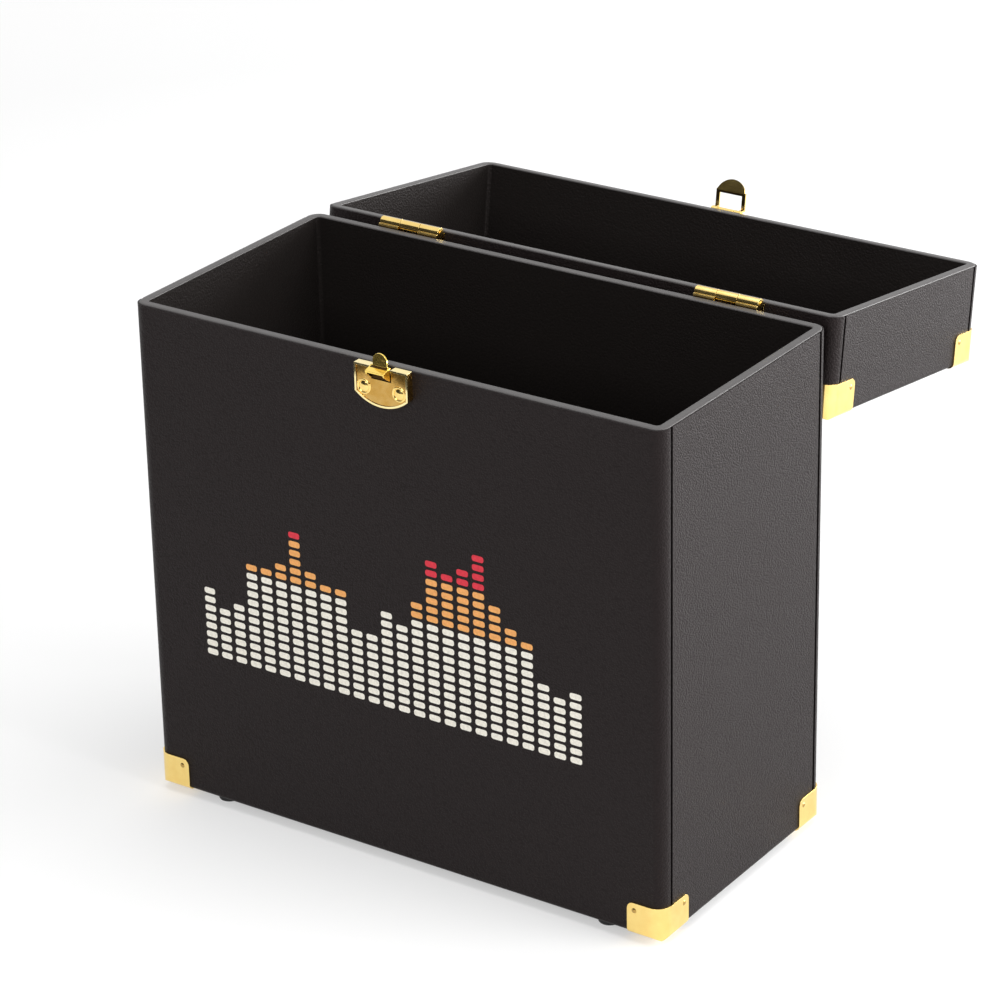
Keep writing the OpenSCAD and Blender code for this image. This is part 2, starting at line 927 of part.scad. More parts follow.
module handle_pins() {
    reach = ear_x + bracket_t + pin_out;
    gold()
        for (side = [-1, 1])
            rod_x(handle_pin_r, side * handle_l / 2 - reach, side * handle_l / 2 + reach, 0, handle_axis_z);
}

// The handle is drawn hanging straight down from the open lid
module hanging() {
    translate([0, 0, handle_axis_z])
        rotate([lid_open - 180, 0, 0])
            children();
}

// Arch outline in X and Z, standing on z = 0
module arch(w, h, r) {
    translate([-w / 2, 0])
        square([w, h - r]);
    translate([r - w / 2, 0])
        square([w - 2 * r, h]);
    for (side = [-1, 1])
        translate([side * (w / 2 - r), h - r])
            circle(r = r);
}

module handle_core() {
    gold()
        hanging()
            difference() {
                union() {
                    along_y(-core_w / 2, core_w / 2)
                        difference() {
                            arch(handle_l + core_t, handle_rise + core_t / 2, core_bend_r);
                            translate([0, -past])
                                arch(handle_l - core_t, handle_rise - core_t / 2 + past, core_bend_r - core_t);
                        }
                    for (side = [-1, 1])
                        rod_x(eye_r, side * handle_l / 2 - eye_l / 2, side * handle_l / 2 + eye_l / 2, 0, 0);
                }
                rod_x(handle_pin_r + pin_clear, -half_w, half_w, 0, 0);
            }
}

module handle_grip() {
    grip_l = handle_l + core_t - 2 * (core_bend_r + grip_gap);
    r = grip_t / 2 - 1;
    color([0.13, 0.12, 0.125])
        hanging()
            translate([0, 0, handle_rise])
                difference() {
                    along_x(-grip_l / 2, grip_l / 2)
                        round_rect(grip_w, grip_t, r);
                    translate([-grip_l, -core_w / 2, -core_t / 2])
                        cube([2 * grip_l, core_w, core_t]);
                }
}

// ---- The two trays, piece by piece ----

module board(piece, h) {
    if (piece == "front") long_board(-1, h);
    if (piece == "back") long_board(1, h);
    if (piece == "left") short_board(-1, h);
    if (piece == "right") short_board(1, h);
    if (piece == "closing") closing_board();
}

module cover(piece, h) {
    if (piece == "front") long_cover(-1, h);
    if (piece == "back") long_cover(1, h);
    if (piece == "left") short_cover(-1, h);
    if (piece == "right") short_cover(1, h);
    if (piece == "closing") closing_cover();
}

// Cuts the body's fastener holes out of the piece given
module body_drilled() {
    difference() {
        on_feet()
            children();
        on_feet()
            nail_holes();
        plate_screw_holes();
        hinge_screw_holes(body_screw_z);
        foot_screw_holes();
    }
}

// Cuts the lid's fastener holes out of the piece given
module lid_drilled() {
    opened()
        difference() {
            turned_over()
                children();
            turned_over()
                nail_holes();
            hasp_rivet_holes();
            hinge_screw_holes(lid_screw_z);
            handle_rivet_holes();
        }
}

module body_board(piece) {
    board_colour()
        body_drilled()
            board(piece, body_h);
}

module body_cover(piece) {
    cover_colour()
        body_drilled()
            cover(piece, body_h);
}

module lid_board(piece) {
    board_colour()
        lid_drilled()
            board(piece, lid_h);
}

module lid_cover(piece) {
    cover_colour()
        lid_drilled()
            cover(piece, lid_h);
}

placed() body_board("front");  // body_front_board
placed() body_board("back");  // body_back_board
placed() body_board("left");  // body_left_board
placed() body_board("right");  // body_right_board
placed() body_board("closing");  // body_base_board
placed() body_cover("front");  // body_front_cover
placed() body_cover("back");  // body_back_cover
placed() body_cover("left");  // body_left_cover
placed() body_cover("right");  // body_right_cover
placed() body_cover("closing");  // body_base_cover
placed() lining_colour() on_feet() lining(body_h);  // body_lining
placed() rim_colour() on_feet() rim(body_h);  // body_rim
placed() on_feet() cap(-1, -1);  // body_cap_front_left
placed() on_feet() cap(1, -1);  // body_cap_front_right
placed() on_feet() cap(-1, 1);  // body_cap_back_left
placed() on_feet() cap(1, 1);  // body_cap_back_right
placed() on_feet() cap_nails();  // body_cap_nails
placed() feet();
placed() foot_screws();
placed() catch_plate();
placed() catch_screws();
placed() catch_pin();
placed() catch_spring();
placed() catch_lever();
placed() hinge_leaf(-1, -1);  // hinge_left_body_leaf
placed() hinge_leaf(1, -1);  // hinge_right_body_leaf
placed() hinge_screws(body_screw_z);  // hinge_body_screws
placed() hinge_pins();
placed() lid_board("front");  // lid_front_board
placed() lid_board("back");  // lid_back_board
placed() lid_board("left");  // lid_left_board
placed() lid_board("right");  // lid_right_board
placed() lid_board("closing");  // lid_top_board
placed() lid_cover("front");  // lid_front_cover
placed() lid_cover("back");  // lid_back_cover
placed() lid_cover("left");  // lid_left_cover
placed() lid_cover("right");  // lid_right_cover
placed() lid_cover("closing");  // lid_top_cover
placed() lining_colour() opened() turned_over() lining(lid_h);  // lid_lining
placed() rim_colour() opened() turned_over() rim(lid_h);  // lid_rim
placed() opened() turned_over() cap(-1, -1);  // lid_cap_front_left
placed() opened() turned_over() cap(1, -1);  // lid_cap_front_right
placed() opened() turned_over() cap(-1, 1);  // lid_cap_back_left
placed() opened() turned_over() cap(1, 1);  // lid_cap_back_right
placed() opened() turned_over() cap_nails();  // lid_cap_nails
placed() opened() hinge_leaf(-1, 1);  // hinge_left_lid_leaf
placed() opened() hinge_leaf(1, 1);  // hinge_right_lid_leaf
placed() opened() hinge_screws(lid_screw_z);  // hinge_lid_screws
placed() opened() hasp_leaf();
placed() opened() hasp_rivets();
placed() opened() hasp_pin();
placed() opened() hasp();
placed() opened() handle_bracket(-1);  // handle_bracket_left
placed() opened() handle_bracket(1);  // handle_bracket_right
placed() opened() handle_rivets();
placed() opened() handle_pins();
placed() opened() handle_core();
placed() opened() handle_grip();
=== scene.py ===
"""An open record carrying case: black leathercloth over board, grey rims partly of painted sheen, gold
fittings and a handle.
"""

import json
import math

import bmesh
import bpy
import numpy as np
from mathutils import Matrix

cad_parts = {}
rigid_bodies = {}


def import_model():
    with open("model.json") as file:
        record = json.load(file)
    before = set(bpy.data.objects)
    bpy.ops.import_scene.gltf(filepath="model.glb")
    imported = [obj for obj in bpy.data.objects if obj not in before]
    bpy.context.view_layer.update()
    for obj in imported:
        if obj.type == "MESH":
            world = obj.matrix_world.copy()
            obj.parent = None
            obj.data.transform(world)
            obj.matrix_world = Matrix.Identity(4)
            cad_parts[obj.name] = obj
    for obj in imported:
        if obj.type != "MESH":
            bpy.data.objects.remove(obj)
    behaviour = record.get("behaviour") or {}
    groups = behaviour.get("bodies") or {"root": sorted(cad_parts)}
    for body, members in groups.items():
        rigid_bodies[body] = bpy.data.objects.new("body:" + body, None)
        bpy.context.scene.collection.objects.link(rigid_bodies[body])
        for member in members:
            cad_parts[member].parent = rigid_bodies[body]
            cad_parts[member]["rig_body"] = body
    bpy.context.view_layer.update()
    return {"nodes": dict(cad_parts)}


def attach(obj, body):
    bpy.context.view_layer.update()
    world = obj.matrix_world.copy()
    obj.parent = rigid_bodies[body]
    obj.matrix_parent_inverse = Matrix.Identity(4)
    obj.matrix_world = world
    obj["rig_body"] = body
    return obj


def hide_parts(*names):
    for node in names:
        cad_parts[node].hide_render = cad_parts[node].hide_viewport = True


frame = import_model()

# ---- Camera ----
# It looks down on the front and the right side, with a long lens and a slight roll. The body's middle is
# forward of the origin, which lies under the lid's hinges.
body_middle = np.array([0.0, -0.0885, 0.0])
azimuth, elevation, roll = np.radians([34.519, 24.397, -1.129])
aim, distance = body_middle + [0.01309, 0.0, 0.19295], 2.1184
away = np.array([math.sin(azimuth), -math.cos(azimuth), math.tan(elevation)]) * math.cos(elevation)
level = np.cross(-away, [0.0, 0.0, 1.0])
level /= np.linalg.norm(level)
upward = np.cross(level, -away)
side = math.cos(roll) * level + math.sin(roll) * upward
up = math.cos(roll) * upward - math.sin(roll) * level
eye = aim + distance * away
camera = bpy.data.objects.new("camera", bpy.data.cameras.new("camera"))
camera.data.sensor_width = 36.0
camera.data.lens = 139.284
camera.matrix_world = Matrix(np.vstack([np.column_stack([side, up, away, eye]), [0, 0, 0, 1]]).tolist())
bpy.context.scene.collection.objects.link(camera)
bpy.context.scene.camera = camera


# ---- Studio ----
# A white floor that runs out of sight, a white surround, and four soft boxes: overhead, from the right, low
# from behind on the right, and from the front.
class Wire:
    """One output of a node, for use in plain expressions: each operator adds the Math node that it means."""

    def __init__(self, tree, socket=None):
        self.tree, self.socket = tree, socket

    def node(self, kind, settings=None, sockets=None, output=0):
        """Adds a node, its settings first and then the values or wires of its sockets. Gives one output."""
        made = self.tree.nodes.new(kind)
        for name, value in (settings or {}).items():
            setattr(made, name, value)
        for name, value in (sockets or {}).items():
            if isinstance(value, Wire):
                self.tree.links.new(value.socket, made.inputs[name])
            else:
                made.inputs[name].default_value = value
        return Wire(self.tree, made.outputs[output])

    def into(self, shader, socket):
        """Plugs this wire into a socket of a shader."""
        self.tree.links.new(self.socket, shader.inputs[socket])

    def maths(self, operation, first, second):
        return self.node("ShaderNodeMath", {"operation": operation}, {0: first, 1: second})

    def between(self, low, high):
        """The colour between low and high that this wire's value picks."""
        return self.node("ShaderNodeMix", {"data_type": "RGBA"}, {0: self, 6: (*low, 1), 7: (*high, 1)}, 2)

    def __add__(self, other):
        return self.maths("ADD", self, other)

    def __mul__(self, other):
        return self.maths("MULTIPLY", self, other)

    def __sub__(self, other):
        return self.maths("SUBTRACT", self, other)

    def __rsub__(self, other):
        return self.maths("SUBTRACT", other, self)

    __radd__, __rmul__ = __add__, __mul__


def plainly_seen(wire):
    """1 for rays from the camera, mirrors and glass, and 0 for the rays that light things."""
    kinds = [f"Is {kind} Ray" for kind in ("Camera", "Glossy", "Transmission")]
    from_camera, from_gloss, from_glass = [wire.node("ShaderNodeLightPath", output=kind) for kind in kinds]
    return wire.maths("MAXIMUM", from_camera, wire.maths("MAXIMUM", from_gloss, from_glass))


def sheet(name, corners, skin):
    """A flat sheet of the studio with four corners."""
    mesh = bpy.data.meshes.new(name)
    mesh.from_pydata(corners, [], [(0, 1, 2, 3)])
    mesh.materials.append(skin)
    made = bpy.data.objects.new(name, mesh)
    bpy.context.scene.collection.objects.link(made)
    return made


# White where it is seen, and dimmer as a light.
fill_strength = 0.4
surround = bpy.data.worlds.new("surround")
surround.use_nodes = True
surround_light = surround.node_tree.nodes["Background"]
surround_light.inputs["Color"].default_value = (1.0, 1.0, 1.0, 1)
seen = plainly_seen(Wire(surround.node_tree))
(seen * (1.0 - fill_strength) + fill_strength).into(surround_light, "Strength")
bpy.context.scene.world = surround
bpy.context.scene.view_settings.view_transform = "Standard"

# The floor takes shadows near the case, and glows more and more away from it, so that it ends in plain white.
glow_near, glow_far = 0.37, 0.95
glow_starts, glow_ends = 1.3, 4.0
floor_half, floor_grey = 9, 0.6
paper = bpy.data.materials.new("white_paper")
paper.use_nodes = True
tree = paper.node_tree
tree.nodes.remove(tree.nodes["Principled BSDF"])
start = Wire(tree)
middle = start.node("ShaderNodeTexCoord", output="Object")
far = start.node("ShaderNodeVectorMath", {"operation": "LENGTH"}, {0: middle}, "Value")
span = {"From Min": glow_starts, "From Max": glow_ends, "To Min": glow_near, "To Max": glow_far}
faded = start.node("ShaderNodeMapRange", {}, {"Value": far, **span})
glow = start.node("ShaderNodeEmission", {}, {"Strength": plainly_seen(start) * faded})
matt = start.node("ShaderNodeBsdfDiffuse", {}, {"Color": (floor_grey, floor_grey, floor_grey, 1)})
start.node("ShaderNodeAddShader", {}, {0: glow, 1: matt}).into(tree.nodes["Material Output"], "Surface")
floor_corners = floor_half * np.array([[-1, -1, 0], [1, -1, 0], [1, 1, 0], [-1, 1, 0]])
floor = sheet("floor", floor_corners.tolist(), paper)


def soft_box(name, place, aim, width, height, power):
    """A rectangular lamp at a place, facing another."""
    lamp = bpy.data.lights.new(name, "AREA")
    lamp.shape, lamp.size, lamp.size_y, lamp.energy = "RECTANGLE", width, height, power
    holder = bpy.data.objects.new(name, lamp)
    back = np.subtract(place, aim) / np.linalg.norm(np.subtract(place, aim))
    across = np.cross([0.0, 1.0, 0.0] if abs(back[2]) > 0.9 else [0.0, 0.0, 1.0], back)
    across /= np.linalg.norm(across)
    turn = np.column_stack([across, np.cross(back, across), back, place])
    holder.matrix_world = Matrix(np.vstack([turn, [0, 0, 0, 1]]).tolist())
    holder.visible_camera = False
    bpy.context.scene.collection.objects.link(holder)


soft_box("overhead", (0.1, 0.3, 2.6), (0.0, -0.05, 0.1), width=2.6, height=2.2, power=30)
soft_box("right", (2.0, 0.2, 1.0), (0.15, -0.05, 0.18), width=1.4, height=1.2, power=42)
soft_box("right_back", (1.35, 1.9, 0.5), (0.17, 0.0, 0.2), width=2.0, height=0.95, power=64)
soft_box("front", (0.3, -2.6, 1.6), (0.0, -0.1, 0.15), width=1.2, height=1.0, power=36)

# A curtain of black cloth stands in front, where only polished metal and gloss can pick it up.
curtain_y, curtain_left, curtain_right, curtain_foot, curtain_top = -2.7, -5, 4, 0.12, 3.5
black_velvet = bpy.data.materials.new("black_velvet")
black_velvet.use_nodes = True
black_velvet.node_tree.nodes["Principled BSDF"].inputs["Base Color"].default_value = (0.01, 0.01, 0.01, 1)
curtain = sheet("curtain", [
    (curtain_left, curtain_y, curtain_foot),
    (curtain_right, curtain_y, curtain_foot),
    (curtain_right, curtain_y, curtain_top),
    (curtain_left, curtain_y, curtain_top),
], black_velvet)
for rays in ("camera", "diffuse", "transmission", "shadow"):
    setattr(curtain, f"visible_{rays}", False)


# ---- Boards ----
# Ten hardboard panels make the two trays, glued and pinned at their edges and primed black. Only their edges
# show, at the bottom of the grooves between the covers.
def finish(name, **fixed):
    """A material with one Principled shader and its fixed values, its shader, and the piece's coordinates."""
    made = bpy.data.materials.new(name)
    made.use_nodes = True
    shader = made.node_tree.nodes["Principled BSDF"]
    for socket, value in fixed.items():
        shader.inputs[socket.replace("_", " ")].default_value = value
    return made, shader, Wire(made.node_tree).node("ShaderNodeTexCoord", output="Object")


def noise(place, size, detail=2.0, output=0):
    """Soft noise whose lumps are about size across, in metres."""
    sockets = {"Vector": place, "Scale": 1 / size, "Detail": detail}
    return place.node("ShaderNodeTexNoise", {}, sockets, output)


def bumped(height, depth, shader):
    """Raises the surface of a shader by depth where the height is 1."""
    sockets = {"Strength": 1.0, "Distance": depth, "Height": height}
    height.node("ShaderNodeBump", {}, sockets).into(shader, "Normal")


def speckled(name, size, detail, colours, roughness, depth, **fixed):
    """A material that follows one noise: from the first colour to the second, from a lowest roughness upwards
    by an extra, and with a surface that rises by depth."""
    made, shader, place = finish(name, **fixed)
    speck = noise(place, size, detail)
    speck.between(*colours).into(shader, "Base Color")
    lowest, extra = roughness
    (lowest + speck * extra).into(shader, "Roughness")
    bumped(speck, depth, shader)
    return made


hardboard = speckled("primed_hardboard", size=0.0018, detail=5.0,
                     colours=((0.002, 0.002, 0.002), (0.009, 0.008, 0.008)),
                     roughness=(0.8, 0.15), depth=0.0002, Specular_IOR_Level=0.15)
for tray in ("body", "lid"):
    for wall in ("front", "back", "left", "right", "base" if tray == "body" else "top"):
        board = frame["nodes"][f"{tray}_{wall}_board"]
        board.data.materials.clear()
        board.data.materials.append(hardboard)


# ---- Outer covers ----
# Black leathercloth with a pressed pebble grain, glued over the boards. The long covers wrap round the
# uprights, and the short ones are laid between them with a narrow groove.
crease, flat, same_point = math.radians(32), math.radians(0.4), 2e-6


def dressed(node, skin, edge=0.0):
    """A copy of a CAD piece with its loose triangles joined, smooth curves, and its edges rounded by edge."""
    form = bmesh.new()
    form.from_mesh(frame["nodes"][node].data)
    bmesh.ops.remove_doubles(form, verts=form.verts, dist=same_point)
    bmesh.ops.dissolve_limit(form, angle_limit=flat, verts=form.verts, edges=form.edges)
    for bend in form.edges:
        bend.smooth = bend.calc_face_angle(0.0) < crease
    mesh = bpy.data.meshes.new(f"finished_{node}")
    form.to_mesh(mesh)
    form.free()
    mesh.polygons.foreach_set("use_smooth", np.ones(len(mesh.polygons), bool))
    mesh.materials.append(skin)
    piece = bpy.data.objects.new(f"finished_{node}", mesh)
    bpy.context.scene.collection.objects.link(piece)
    if edge:
        soften = piece.modifiers.new("rounded_edges", "BEVEL")
        soften.width, soften.segments, soften.limit_method = edge, 2, "ANGLE"
        soften.angle_limit, soften.harden_normals = crease, True
    even = piece.modifiers.new("even_shading", "WEIGHTED_NORMAL")
    even.keep_sharp = True
    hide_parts(node)
    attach(piece, frame["nodes"][node]["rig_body"])
    return piece


def pebbles(place, across):
    """Height of a pressed grain: domed pebbles about that far across, creases between, and fine wrinkles."""
    dome, wrinkle = 0.95, 0.35
    drift = noise(place, across * 3, 2.0, "Color")
    bent = place.node("ShaderNodeVectorMath", {"operation": "MULTIPLY_ADD"},
                      {0: drift, 1: (across,) * 3, 2: place})
    reach = bent.node("ShaderNodeTexVoronoi", {}, {"Vector": bent, "Scale": 1 / across})
    return 1.0 - reach * dome + noise(place, across * 0.45, 3.0) * wrinkle


def leathercloth(name, tint, across, depth):
    """Grained cloth of that colour, with pebbles that far across. Its creases are darker and duller than its
    pebbles, and broad patches vary a little."""
    crease_shade, pebble_shade = 0.55, 1.2
    cloth, shader, place = finish(name, Specular_IOR_Level=0.18, Specular_Tint=(1.0, 0.88, 0.88, 1))
    grain = pebbles(place, across)
    patch = noise(place, 0.05, 2.0)
    dark, light = [tuple(shade * c for c in tint) for shade in (crease_shade, pebble_shade)]
    (grain * 0.8 + patch * 0.25).between(dark, light).into(shader, "Base Color")
    (0.62 + patch * 0.06 + grain * -0.26).into(shader, "Roughness")
    bumped(grain, depth, shader)
    return cloth


# Both trays are as wide and deep. The lid's lies upside down behind the body, turned back about the hinge.
case_half = np.array([0.170, 0.084])
tray_height = {"body": 0.295, "lid": 0.057}
foot_height = 0.005
swing = math.radians(187.9)
cos, sin = math.cos(swing), math.sin(swing)
lid_turn = np.array([[1, 0, 0], [0, -cos, -sin], [0, sin, -cos]])
hinge_out_y, hinge_z, lid_top_z = 0.0885, 0.3011, 0.3575
over_hinge = lid_top_z - hinge_z
lid_seat = np.array([0, over_hinge * sin - hinge_out_y * cos, hinge_out_y * sin + over_hinge * cos + hinge_z])


def in_tray(tray, points):
    """Moves points from a tray lying on z = 0 to where the body or the open lid is."""
    return points @ lid_turn.T + lid_seat if tray == "lid" else points + body_middle + [0, 0, foot_height]


def trimmed(piece, along, cut):
    """Shortens a cover by cut at both of its ends along a direction, which opens the grooves beside it."""
    end_zone = 0.002
    points = np.empty(3 * len(piece.data.vertices))
    piece.data.vertices.foreach_get("co", points)
    points = points.reshape(-1, 3)
    reach = points @ along
    centre, half = (reach.max() + reach.min()) / 2, (reach.max() - reach.min()) / 2
    outward = np.sign(reach - centre) * (np.abs(reach - centre) > half - end_zone)
    piece.data.vertices.foreach_set("co", (points - cut * outward[:, None] * along).ravel())
    piece.data.update()


cover_edge, groove_gain = 0.0005, 0.0009
black_cloth = leathercloth("black_leathercloth", (0.0076, 0.0053, 0.0053), 0.001, 0.00026)
for tray, depthwise in (("body", np.array([0.0, 1.0, 0.0])), ("lid", lid_turn[:, 1])):
    for wall in ("front", "back", "base" if tray == "body" else "top"):
        dressed(f"{tray}_{wall}_cover", black_cloth, cover_edge)
    for wall in ("left", "right"):
        short_cover = dressed(f"{tray}_{wall}_cover", black_cloth, cover_edge)
        trimmed(short_cover, depthwise, groove_gain)


# ---- Printed design ----
# Three colours of thick ink screened on the front cover: a row of level bars, each a stack of short rounded
# blocks, cream at the foot, then orange, then red. A grain like the cloth's shows through the ink.
def ring(half_x, half_y, radius, arc=9):
    """Points anticlockwise round a rectangle whose corners are quarter circles of that radius."""
    quarter = np.linspace(0, np.pi / 2, arc)
    angle = np.concatenate([quarter + turn * np.pi / 2 for turn in range(4)])
    corner = np.repeat([[1, 1], [-1, 1], [-1, -1], [1, -1]], arc, axis=0)
    return corner * [half_x - radius, half_y - radius] + radius * np.stack([np.cos(angle), np.sin(angle)], 1)


def woven(rows, around, closed=False):
    """Four-sided faces over rows of points that each run round. If closed, the last row joins the first."""
    index = np.arange(rows * around).reshape(rows, around)
    index = np.concatenate([index, index[:, :1]], 1)
    if closed:
        index = np.concatenate([index, index[:1]], 0)
    return np.stack([index[:-1, :-1], index[:-1, 1:], index[1:, 1:], index[1:, :-1]], -1).reshape(-1, 4)


def new_piece(name, points, faces, skin, body, replaced=()):
    """Makes a piece from points and faces, joins doubled points, turns its faces outwards and has it ride."""
    sharp, doubled = math.radians(40), 1e-6
    mesh = bpy.data.meshes.new(name)
    mesh.from_pydata(np.asarray(points).tolist(), [], faces)
    form = bmesh.new()
    form.from_mesh(mesh)
    bmesh.ops.remove_doubles(form, verts=form.verts, dist=doubled)
    bmesh.ops.dissolve_degenerate(form, edges=form.edges, dist=doubled)
    bmesh.ops.recalc_face_normals(form, faces=form.faces)
    for bend in form.edges:
        bend.smooth = bend.calc_face_angle(0.0) < sharp
    form.to_mesh(mesh)
    form.free()
    mesh.polygons.foreach_set("use_smooth", np.ones(len(mesh.polygons), bool))
    mesh.materials.append(skin)
    piece = bpy.data.objects.new(name, mesh)
    bpy.context.scene.collection.objects.link(piece)
    piece.modifiers.new("even_shading", "WEIGHTED_NORMAL").keep_sharp = True
    if replaced:
        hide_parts(*replaced)
    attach(piece, body)
    return piece


def ink(name, tint):
    """Matt ink with a fine grain, a little thin in the creases."""
    film, shader, place = finish(name, Specular_IOR_Level=0.35)
    grain = pebbles(place, 0.0015)
    worn = noise(place, 0.004, 4.0)
    thin = tuple(0.72 * c for c in tint)
    (grain * 0.8 + worn * 0.25).between(thin, tint).into(shader, "Base Color")
    (0.72 + grain * -0.14).into(shader, "Roughness")
    bumped(grain, 0.0001, shader)
    return film


def stack_height(bar):
    """Blocks in each bar: 6, two bell-shaped humps of 9 at bar 6 and 13 at bar 17, and a ripple of 1.6."""
    humps = 6 + 9 * np.exp(-(((bar - 6) / 3.4) ** 2)) + 13 * np.exp(-(((bar - 17) / 4.0) ** 2))
    return np.round(humps + 1.6 * np.cos(2.1 * bar)).astype(int)


front_y, first_x, lowest_z = -0.1725, -0.126, 0.099
bar_pitch, block_pitch = 0.0101, 0.0054
block_half, block_round = np.array([0.0037, 0.0018]), 0.0013
ink_height, shoulder = 0.00006, 0.00015
bars = np.arange(25)
levels = stack_height(bars)
rows = np.concatenate([np.arange(count) for count in levels])
columns = np.repeat(bars, levels)
outline = np.stack([
    np.insert(ring(*(block_half - inset), block_round - inset, 4), 1, front_y - lift, axis=1)
    for inset, lift in ((0, 0), (0, 0.7 * ink_height), (shoulder, ink_height))
])
around = outline.shape[1]
sides, foot = woven(len(outline), around), np.arange(around)
for name, tint, first, last in (
    ("cream", (0.92, 0.88, 0.78), 0, 11),
    ("orange", (0.90, 0.42, 0.13), 11, 16),
    ("red", (0.72, 0.035, 0.06), 16, 40),
):
    chosen = (rows >= first) & (rows < last)
    middles = np.stack([first_x + bar_pitch * columns, 0 * rows, lowest_z + block_pitch * rows], 1)[chosen]
    points = (middles[:, None, None] + outline).reshape(-1, 3)
    faces = []
    for block in np.arange(len(middles)) * len(outline) * around:
        faces += (sides + block).tolist()
        faces += [(foot + block).tolist(), (foot + 2 * around + block).tolist()]
    new_piece(f"printed_blocks_{name}", points, faces, ink(f"{name}_ink", tint), "case")


# ---- Linings ----
# Black grained paper cloth glued inside each tray. Its inner corners are soft folds, and the floor meets the
# walls in a small round.
def carried(profile, corner, closed):
    """Faces and points of a profile of (inset, height) carried round the tray. Each inset shrinks the rounded
    rectangle and its corner radius, which is corner at the inset given with it."""
    radius, at_inset = corner
    loops = []
    for inset, height in profile:
        turn = max(radius + at_inset - inset, 0.0)
        edge = ring(*(case_half - inset), turn)
        loops.append(np.column_stack([edge, np.full(len(edge), height)]))
    return np.concatenate(loops), woven(len(loops), len(loops[0]), closed).tolist()


tray_body = {"body": "case", "lid": "lid"}
board_inside, lining_inside = 0.005, 0.006
inner_corner = (0.0022, lining_inside)
cove, tape_depth = 0.0025, 0.0008
quarter = np.linspace(0, np.pi / 2, 6)
lining_cloth = leathercloth("lining_cloth", (0.009, 0.0075, 0.0068), 0.0013, 0.0002)
for tray in ("body", "lid"):
    top = tray_height[tray] - tape_depth
    fold = [(lining_inside + cove * (1 - math.cos(a)), lining_inside + cove * (1 - math.sin(a)))
            for a in quarter]
    profile = [
        (case_half[1], board_inside),
        (board_inside, board_inside),
        (board_inside, top),
        (lining_inside, top),
        *fold,
        (case_half[1], lining_inside),
    ]
    points, faces = carried(profile, inner_corner, False)
    new_piece(f"{tray}_lining_cloth", in_tray(tray, points), faces, lining_cloth, tray_body[tray],
              [f"{tray}_lining"])


# ---- Rims ----
# Grey tape folded over the walls' top edges and rounded down at both sides. Its grey is partly a painted
# sheen for the light on the walls' tops. It ends a little short of the cover, so that a shadow line runs
# under its outer edge.
painted_sheen_tape, shader, place = finish("grey_tape_painted_sheen", Specular_IOR_Level=0.5)
streak = noise(place, 0.012, 4.0)
streak.between((0.036, 0.033, 0.033), (0.078, 0.072, 0.071)).into(shader, "Base Color")
(0.36 + streak * 0.12).into(shader, "Roughness")
bumped(pebbles(place, 0.0011), 0.00007, shader)
tape_inset = 0.0009
outer_fold, inner_fold = (0.0016, 0.0006), (0.0009, 0.0006)
for tray in ("body", "lid"):
    top = tray_height[tray]
    outer = [(tape_inset + outer_fold[0] * (1 - math.cos(a)), top - outer_fold[1] * (1 - math.sin(a)))
             for a in quarter]
    inner = [(lining_inside - inner_fold[0] * (1 - math.sin(a)), top - inner_fold[1] * (1 - math.cos(a)))
             for a in quarter]
    profile = [(tape_inset, top - tape_depth), *outer, *inner, (lining_inside, top - tape_depth)]
    points, faces = carried(profile, inner_corner, True)
    new_piece(f"{tray}_rim_tape", in_tray(tray, points), faces, painted_sheen_tape, tray_body[tray],
              [f"{tray}_rim"])


# ---- Corner caps ----
# Sheet brass drawn over a block, so that its three leaves run into each other, then plated a pale gold and
# polished. Each leaf is held by a small nail, painted a darker brass as shade at its head.
def polished(name, pale=(0.98, 0.76, 0.29), deep=(0.88, 0.60, 0.18)):
    """Plated sheet, polished by hand: cloudy in colour and gloss."""
    metal, shader, place = finish(name, Metallic=1.0)
    cloud = noise(place, 0.006, 3.0)
    cloud.between(deep, pale).into(shader, "Base Color")
    (0.08 + cloud * 0.14).into(shader, "Roughness")
    return metal, shader, place


cap_edge, pressed_edge, strip_edge = 0.00022, 0.00015, 0.0002
gold, shader, place = polished("polished_gold")
bumped(noise(place, 0.011, 1.0), 0.0002, shader)
nail_brass_painted_shade, shader, place = polished("nail_brass_painted_shade", (0.60, 0.40, 0.12), (0.38, 0.23, 0.06))
bumped(noise(place, 0.0008, 1.0), 0.00008, shader)
for tray in ("body", "lid"):
    for corner in ("front_left", "front_right", "back_left", "back_right"):
        dressed(f"{tray}_cap_{corner}", gold, cap_edge)
    dressed(f"{tray}_cap_nails", nail_brass_painted_shade)


# ---- Catch ----
# A pressed pan, screwed on through two round bosses, with a bead round its face. A folded lever stands in
# its notch: a hub on the pin, a thumb tab above the rim, and a hooded nose with painted shade inside.
def axes(place):
    """The three coordinates of a place, each on a wire of its own."""
    x = place.node("ShaderNodeSeparateXYZ", {}, {0: place})
    return x, Wire(x.tree, x.socket.node.outputs["Y"]), Wire(x.tree, x.socket.node.outputs["Z"])


# Inside the bead the pan's face has painted shade, a deeper colour, and near its upper corners it leans back.
bead_back_y, face_top_z = -0.17695, 0.2989
lean_foot_z, lean_rise, lean_scale = 0.2870, 0.4, 80
catch_gold, shader, place = finish("catch_gold", Metallic=1.0)
across, depth, height = axes(place)
spread = across.maths("ABSOLUTE", across, 0.0)
cloud = noise(place, 0.005, 3.0)
painted_shade_recess = across.maths("GREATER_THAN", depth, bead_back_y) * across.maths("LESS_THAN", height, face_top_z)
(painted_shade_recess * (0.75 + cloud * 0.4)).between((1.0, 0.84, 0.42), (0.54, 0.31, 0.07)).into(shader, "Base Color")
(0.1 + painted_shade_recess * 0.06 + cloud * 0.12).into(shader, "Roughness")
crown = across.maths("MAXIMUM", height + spread * lean_rise - lean_foot_z, 0.0) * lean_scale
bumped(noise(place, 0.004, 1.5) * 0.12 - crown * crown * 1.5, 0.001, shader)
dressed("catch_plate", catch_gold, pressed_edge)


